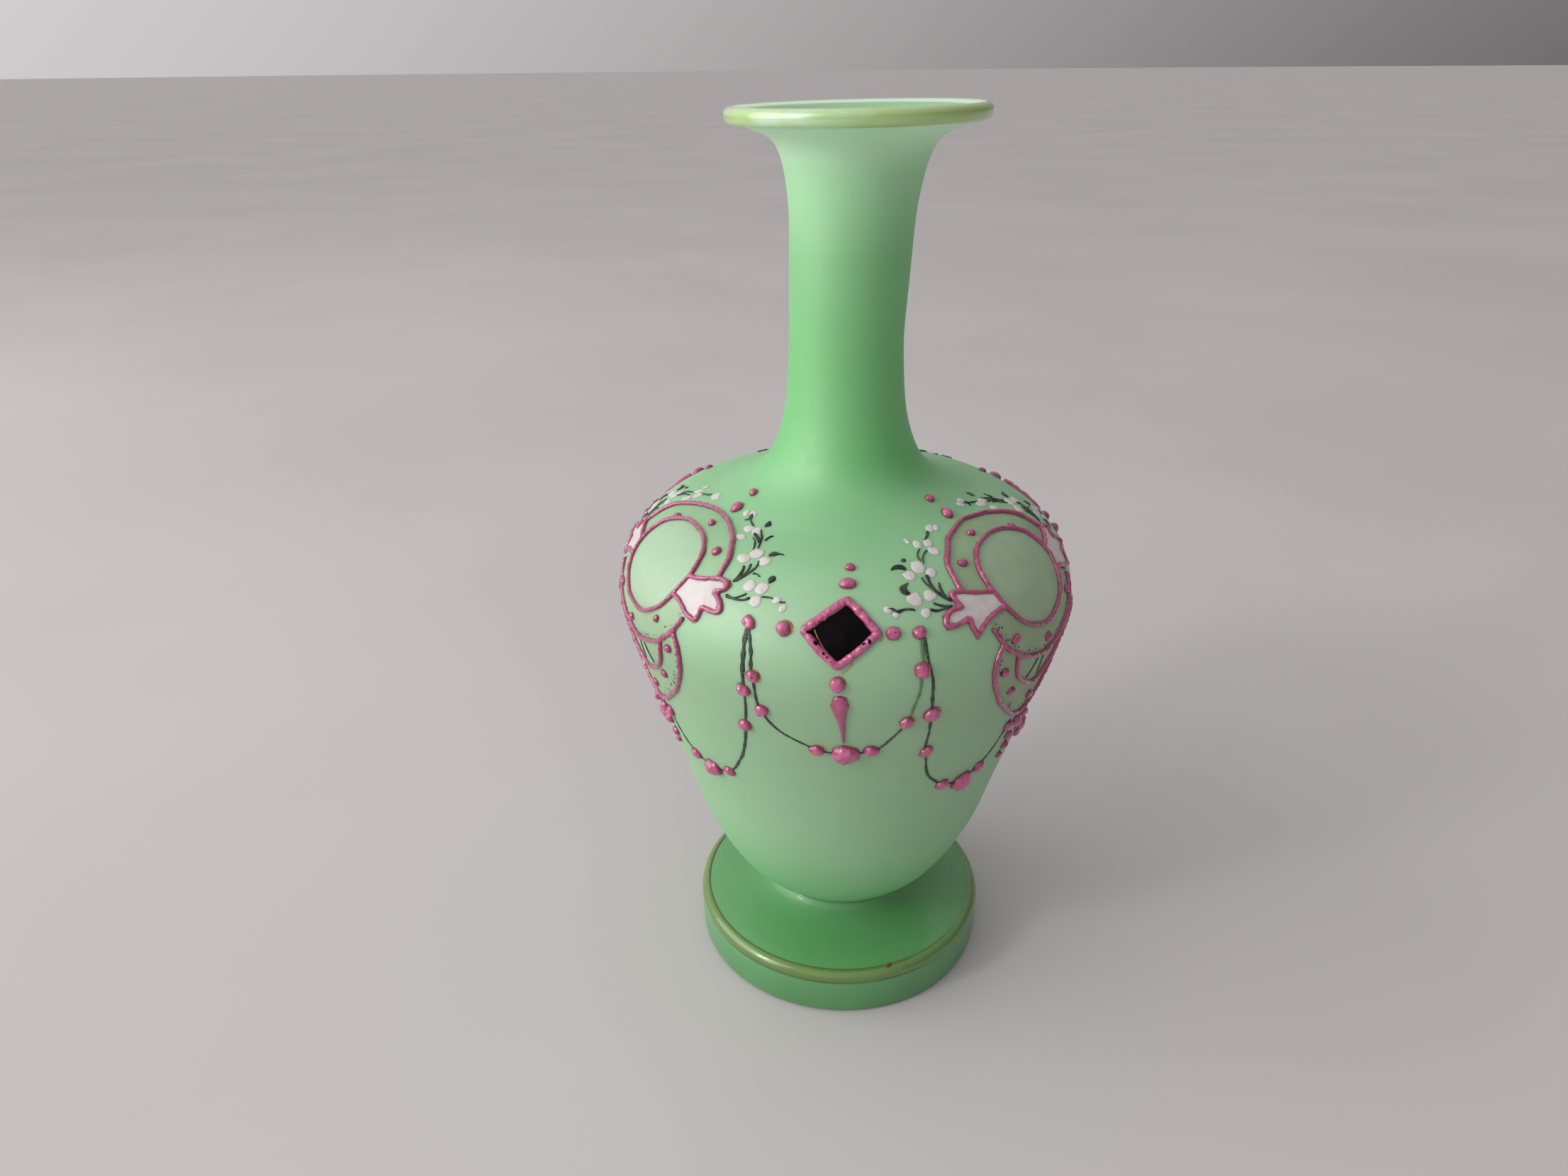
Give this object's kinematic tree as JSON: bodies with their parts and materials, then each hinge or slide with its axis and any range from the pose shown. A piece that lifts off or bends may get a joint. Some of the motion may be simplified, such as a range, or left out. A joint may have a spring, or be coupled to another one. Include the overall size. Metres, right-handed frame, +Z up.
{
  "type": "bud vase",
  "caption": "Tall narrow-necked satin opaline glass vase with a flared lip, high-shouldered bulb, spreading foot, gilded rims and raised enamel swags and medallions.",
  "frame": {"origin": "centre of the foot's underside, on the surface that the vase stands on", "axes": "+Z up along the vase's axis, -Y towards the front diamond, +X to the right of it"},
  "size_m": [0.1287, 0.1298, 0.25],
  "materials": {
    "opaline_glass": "satin, acid-etched, milky mint green",
    "foot_glass": "glossy, milky deeper green",
    "gilding": "thin worn gilding over green glass",
    "pink_enamel": "glossy raised fired enamel",
    "dark_enamel": "glossy black to dark green enamel",
    "white_enamel": "semi-matt off-white enamel"
  },
  "bodies": {
    "root": {"cartouche_1_bead_row": "pink_enamel", "cartouche_1_large_bead_above": "pink_enamel", "cartouche_1_left_shell": "white_enamel", "cartouche_1_outline": "pink_enamel", "cartouche_1_right_shell": "white_enamel", "cartouche_1_small_bead_above": "pink_enamel", "cartouche_2_bead_row": "pink_enamel", "cartouche_2_large_bead_above": "pink_enamel", "cartouche_2_left_shell": "white_enamel", "cartouche_2_outline": "pink_enamel", "cartouche_2_right_shell": "white_enamel", "cartouche_2_small_bead_above": "pink_enamel", "cartouche_3_bead_row": "pink_enamel", "cartouche_3_large_bead_above": "pink_enamel", "cartouche_3_left_shell": "white_enamel", "cartouche_3_outline": "pink_enamel", "cartouche_3_right_shell": "white_enamel", "cartouche_3_small_bead_above": "pink_enamel", "centre_swag_1": "pink_enamel", "centre_swag_2": "pink_enamel", "centre_swag_3": "pink_enamel", "diamond_1_bead_below": "pink_enamel", "diamond_1_frame": "pink_enamel", "diamond_1_large_bead_above": "pink_enamel", "diamond_1_left_bead": "pink_enamel", "diamond_1_pendant": "pink_enamel", "diamond_1_right_bead": "pink_enamel", "diamond_1_small_bead_above": "pink_enamel", "diamond_1_stone": "dark_enamel", "diamond_2_bead_below": "pink_enamel", "diamond_2_frame": "pink_enamel", "diamond_2_large_bead_above": "pink_enamel", "diamond_2_left_bead": "pink_enamel", "diamond_2_pendant": "pink_enamel", "diamond_2_right_bead": "pink_enamel", "diamond_2_small_bead_above": "pink_enamel", "diamond_2_stone": "dark_enamel", "diamond_3_bead_below": "pink_enamel", "diamond_3_frame": "pink_enamel", "diamond_3_large_bead_above": "pink_enamel", "diamond_3_left_bead": "pink_enamel", "diamond_3_pendant": "pink_enamel", "diamond_3_right_bead": "pink_enamel", "diamond_3_small_bead_above": "pink_enamel", "diamond_3_stone": "dark_enamel", "foot_gilt_band": "gilding", "glass_body": "opaline_glass", "glass_foot": "foot_glass", "left_swag_1": "pink_enamel", "left_swag_2": "pink_enamel", "left_swag_3": "pink_enamel", "lip_gilt_band": "gilding", "right_swag_1": "pink_enamel", "right_swag_2": "pink_enamel", "right_swag_3": "pink_enamel"}
  },
  "joints": []
}
